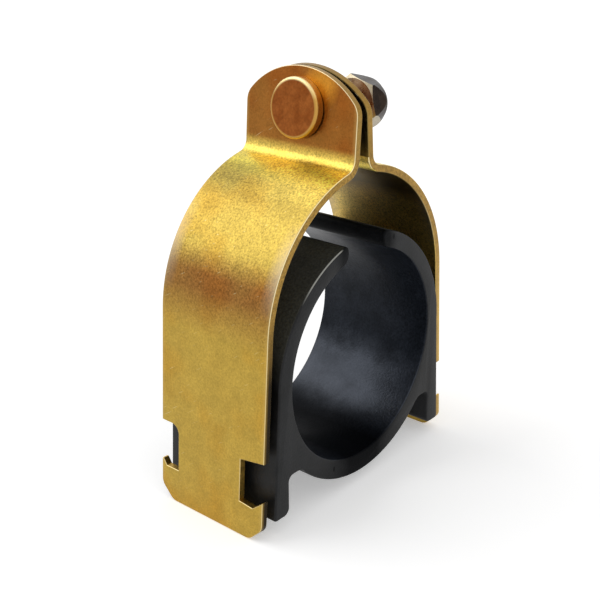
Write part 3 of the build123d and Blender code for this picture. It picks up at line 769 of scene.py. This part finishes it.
def draw_ring_outline(piece):
    """In edit mode, turns the outer circle into the ring's flat outline, with slot, feet and grooves."""
    root_x = math.sqrt(RING_R ** 2 - (GROOVE_ROOF_Z + RING_DROP) ** 2)
    tip_z = math.sqrt(RING_R ** 2 - SLOT_HALF ** 2) - RING_DROP
    bore_tip_z = math.sqrt(BORE_R ** 2 - SLOT_HALF ** 2)
    slot_room = SLOT_HALF + TIP_ROUND + ROUND_ROOM
    groove_room = GROOVE_ROOF_Z - GROOVE_ROUND

    # The circle loses the slot and the stretch on each side that the feet take over, with room for the rounds
    pick("VERT", lambda m, e: m.z > 0 and abs(m.x) < slot_room)
    bpy.ops.mesh.delete(type="VERT")
    pick("VERT", lambda m, e: groove_room < m.z < -RING_DROP - MARGIN)
    bpy.ops.mesh.delete(type="VERT")
    for side in (-1, 1):
        pick("VERT", at_point(side * RING_R, -RING_DROP))
        pull(side * (WALL_FOOT_X - RING_R), FOOT_BOTTOM_Z + RING_DROP)
        pull(side * (FOOT_INNER_X - WALL_FOOT_X), 0)
        pull(0, GROOVE_ROOF_Z - FOOT_BOTTOM_Z)
        pull(side * (root_x - FOOT_INNER_X), 0)

    # The bore's circle joins the same mesh, open at the slot
    bpy.ops.mesh.select_all(action="DESELECT")
    flat_circle(BORE_R)
    pick("VERT", lambda m, e: m.length < BORE_R + MARGIN and m.z > 0 and abs(m.x) < slot_room)
    bpy.ops.mesh.delete(type="VERT")

    # Its open ends are drawn to the slot's walls, then these and the grooves' roots are closed and rounded
    for side in (-1, 1):
        pick("VERT", lambda m, e: is_end(e) and m.x * side > 0 and m.z > 0 and m.length < BORE_R + MARGIN)
        shape = bmesh.from_edit_mesh(piece.data)
        here = next(v.co / MM for v in shape.verts if v.select)
        pull(side * SLOT_HALF - here.x, bore_tip_z - here.z)
        pull(0, tip_z - bore_tip_z)
        pick("VERT", lambda m, e: is_end(e) and m.x * side > 0 and m.z > 0)
        bpy.ops.mesh.edge_face_add()
        pick("VERT", lambda m, e: is_end(e) and m.x * side > 0 and m.z < 0)
        bpy.ops.mesh.edge_face_add()
        round_corner(side * SLOT_HALF, tip_z, TIP_ROUND, ROUND_STEPS)
        round_corner(side * SLOT_HALF, bore_tip_z, TIP_ROUND, ROUND_STEPS)
        round_corner(side * FOOT_INNER_X, FOOT_BOTTOM_Z, FOOT_ROUND, FOOT_ROUND_STEPS)
        round_corner(side * WALL_FOOT_X, FOOT_BOTTOM_Z, FOOT_OUTER_ROUND, ROUND_STEPS)
        round_corner(side * FOOT_INNER_X, GROOVE_ROOF_Z, GROOVE_ROUND, ROUND_STEPS)
        round_corner(side * root_x, GROOVE_ROOF_Z, GROOVE_ROUND, ROUND_STEPS)
    bpy.ops.mesh.select_all(action="SELECT")
    bpy.ops.mesh.remove_doubles(threshold=WELD * MM)


def model_cushion(material):
    """The soft ring: its outline is drawn flat from two circles, filled, and pulled along the pipe."""
    bpy.ops.object.select_all(action="DESELECT")
    flat_circle(RING_R)
    piece = bpy.context.object
    piece.name = "cushion_moulding"
    bpy.ops.object.transform_apply(location=True, rotation=True, scale=True)
    bpy.ops.object.mode_set(mode="EDIT")
    bpy.ops.transform.translate(value=(0, 0, -RING_DROP * MM))
    draw_ring_outline(piece)
    bpy.ops.mesh.edge_face_add()

    # The flat outline becomes the ring, and its two end faces get their soft rim
    bpy.ops.transform.translate(value=(0, -CUSHION_W / 2 * MM, 0))
    bpy.ops.mesh.extrude_region_move(TRANSFORM_OT_translate={"value": (0, CUSHION_W * MM, 0)})
    bpy.ops.mesh.select_all(action="SELECT")
    bpy.ops.mesh.normals_make_consistent(inside=False)
    pick("EDGE", lambda m, e: abs(abs(m.y) - CUSHION_W / 2) < SAME_PLACE)
    bpy.ops.mesh.bevel(offset=FACE_ROUND * MM, segments=FACE_STEPS, affect="EDGES")
    bpy.ops.object.mode_set(mode="OBJECT")
    piece.data.materials.append(material)
    bpy.ops.object.shade_smooth_by_angle(angle=math.radians(SMOOTH_BELOW))
    return piece


# The two straps' materials differ only in their edges' painted shade and light
for node_name, material in {
    "front_strap": yellow_chromate("yellow_zinc_plate_front", 0.0, FRONT_EDGE_SHADE),
    "rear_strap": yellow_chromate("yellow_zinc_plate_rear", math.pi, REAR_EDGE_LIGHT),
    "bolt": turned_bolt("yellow_zinc_bolt"),
    "lock_nut": lock_nut_metal("clear_zinc_nut"),
    "nut_insert": insert_nylon("milky_nylon"),
}.items():
    nodes[node_name].data.materials.clear()
    nodes[node_name].data.materials.append(material)

cushion = model_cushion(moulded_elastomer("black_moulded_elastomer"))
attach(cushion, "cushion")
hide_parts("cushion")


def seen_directly(tree):
    """1 for rays from the camera, a mirror or glass, and 0 for the light that falls on the object."""
    path = add(tree, "ShaderNodeLightPath").outputs
    seen = path["Is Camera Ray"]
    for kind in ("Is Glossy Ray", "Is Transmission Ray"):
        seen = add(tree, "ShaderNodeMath", {0: seen, 1: path[kind]}, operation="MAXIMUM").outputs[0]
    return seen


# Studio: a pale floor that keeps the object's shadow, white all round to the camera and in reflections
bpy.ops.object.select_all(action="DESELECT")
bpy.ops.mesh.primitive_plane_add(size=FLOOR_SIZE, location=(0, 0, cad_box[0].z))
floor = bpy.context.object
floor.name = "floor"
floor_paint, tree = new_material("pale_matt_floor")
paint = add(tree, "ShaderNodeBsdfDiffuse", {"Color": linear("#f4f4f4")})
lift = add(tree, "ShaderNodeMath", {0: seen_directly(tree), 1: FLOOR_LIFT}, operation="MULTIPLY")
glow = add(tree, "ShaderNodeEmission", {"Strength": lift.outputs[0]})
both = add(tree, "ShaderNodeAddShader", {0: paint.outputs[0], 1: glow.outputs[0]})
add(tree, "ShaderNodeOutputMaterial", {"Surface": both.outputs[0]})
floor.data.materials.append(floor_paint)

world = bpy.data.worlds.new("studio")
scene.world = world
world.use_nodes = True
tree = world.node_tree
tree.nodes.clear()
level = add(tree, "ShaderNodeMapRange", {"Value": seen_directly(tree), "To Min": ROOM_LIGHT, "To Max": 1.0})
sky = add(tree, "ShaderNodeBackground", {"Color": linear("#ffffff"), "Strength": level.outputs[0]})
add(tree, "ShaderNodeOutputWorld", {"Surface": sky.outputs[0]})


def soft_sun(name, direction, power, width):
    """A soft distant lamp that shines from a direction, as wide in degrees as a large screen looks."""
    data = bpy.data.lights.new(name, "SUN")
    data.energy = power
    data.angle = math.radians(width)
    lamp = bpy.data.objects.new(name, data)
    scene.collection.objects.link(lamp)
    lamp.rotation_mode = "QUATERNION"
    lamp.rotation_quaternion = Vector(direction).to_track_quat("Z", "Y")


soft_sun("key_screen", direction=(-0.39, 0.60, 0.69), power=0.9, width=50)
soft_sun("front_screen", direction=(-0.4, -0.9, 0.7), power=0.35, width=70)

# Camera
camera_data = bpy.data.cameras.new("camera")
camera_data.lens = CAMERA_LENS
camera_data.sensor_width = SENSOR
camera_data.clip_start = NEAREST
camera_data.clip_end = FARTHEST
camera = bpy.data.objects.new("camera", camera_data)
scene.collection.objects.link(camera)
azimuth, elevation, roll = (math.radians(a) for a in (CAMERA_AZIMUTH, CAMERA_ELEVATION, CAMERA_ROLL))
back = Vector((
    math.sin(azimuth) * math.cos(elevation),
    -math.cos(azimuth) * math.cos(elevation),
    math.sin(elevation),
))
right = Vector((math.cos(azimuth), math.sin(azimuth), 0.0))
up = back.cross(right)
turned_right = right * math.cos(roll) + up * math.sin(roll)
turned_up = up * math.cos(roll) - right * math.sin(roll)
axes = Matrix((turned_right, turned_up, back)).transposed().to_4x4()
camera.matrix_world = Matrix.Translation(Vector(CAMERA_AT) * MM) @ axes
scene.camera = camera

scene.view_settings.view_transform = "Standard"
